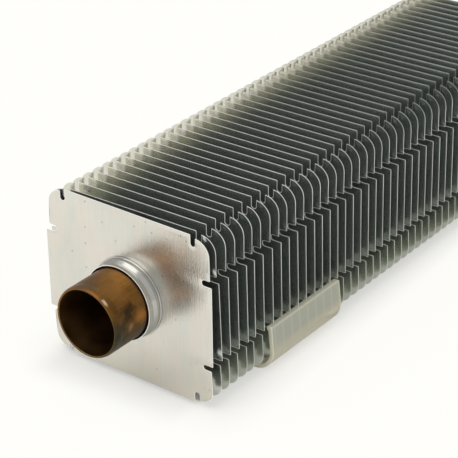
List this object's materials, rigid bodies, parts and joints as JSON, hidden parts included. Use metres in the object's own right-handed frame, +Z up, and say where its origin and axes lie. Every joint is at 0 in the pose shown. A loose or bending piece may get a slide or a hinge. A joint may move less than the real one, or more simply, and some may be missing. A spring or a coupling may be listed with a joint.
{
  "type": "baseboard heating element",
  "caption": "Hydronic baseboard heating element: a straight copper tube through a stack of slotted rectangular aluminium fins, resting on hooked plastic glides.",
  "frame": {"origin": "middle of the element's underside, on the plane that the glides stand on", "axes": "+Y along the tube, away from the end with the longer collar in view; +X to the right seen from that end; +Z up"},
  "size_m": [0.0642, 0.2342, 0.0562],
  "materials": {
    "tube": "tarnished copper, dull",
    "fin": "satin mill finish",
    "glide": "natural nylon, slightly translucent"
  },
  "bodies": {
    "root": {"water_tube": "tube", "fin_01": "fin", "fin_02": "fin", "fin_03": "fin", "fin_04": "fin", "fin_05": "fin", "fin_06": "fin", "fin_07": "fin", "fin_08": "fin", "fin_09": "fin", "fin_10": "fin", "fin_11": "fin", "fin_12": "fin", "fin_13": "fin", "fin_14": "fin", "fin_15": "fin", "fin_16": "fin", "fin_17": "fin", "fin_18": "fin", "fin_19": "fin", "fin_20": "fin", "fin_21": "fin", "fin_22": "fin", "fin_23": "fin", "fin_24": "fin", "fin_25": "fin", "fin_26": "fin", "fin_27": "fin", "fin_28": "fin", "fin_29": "fin", "fin_30": "fin", "fin_31": "fin", "fin_32": "fin", "fin_33": "fin", "fin_34": "fin", "fin_35": "fin", "fin_36": "fin", "fin_37": "fin", "fin_38": "fin", "fin_39": "fin", "fin_40": "fin", "fin_41": "fin", "fin_42": "fin", "fin_43": "fin", "fin_44": "fin", "fin_45": "fin", "fin_46": "fin", "fin_47": "fin", "fin_48": "fin", "glide_front_right": "glide", "glide_front_left": "glide", "glide_rear_right": "glide", "glide_rear_left": "glide"}
  },
  "joints": []
}
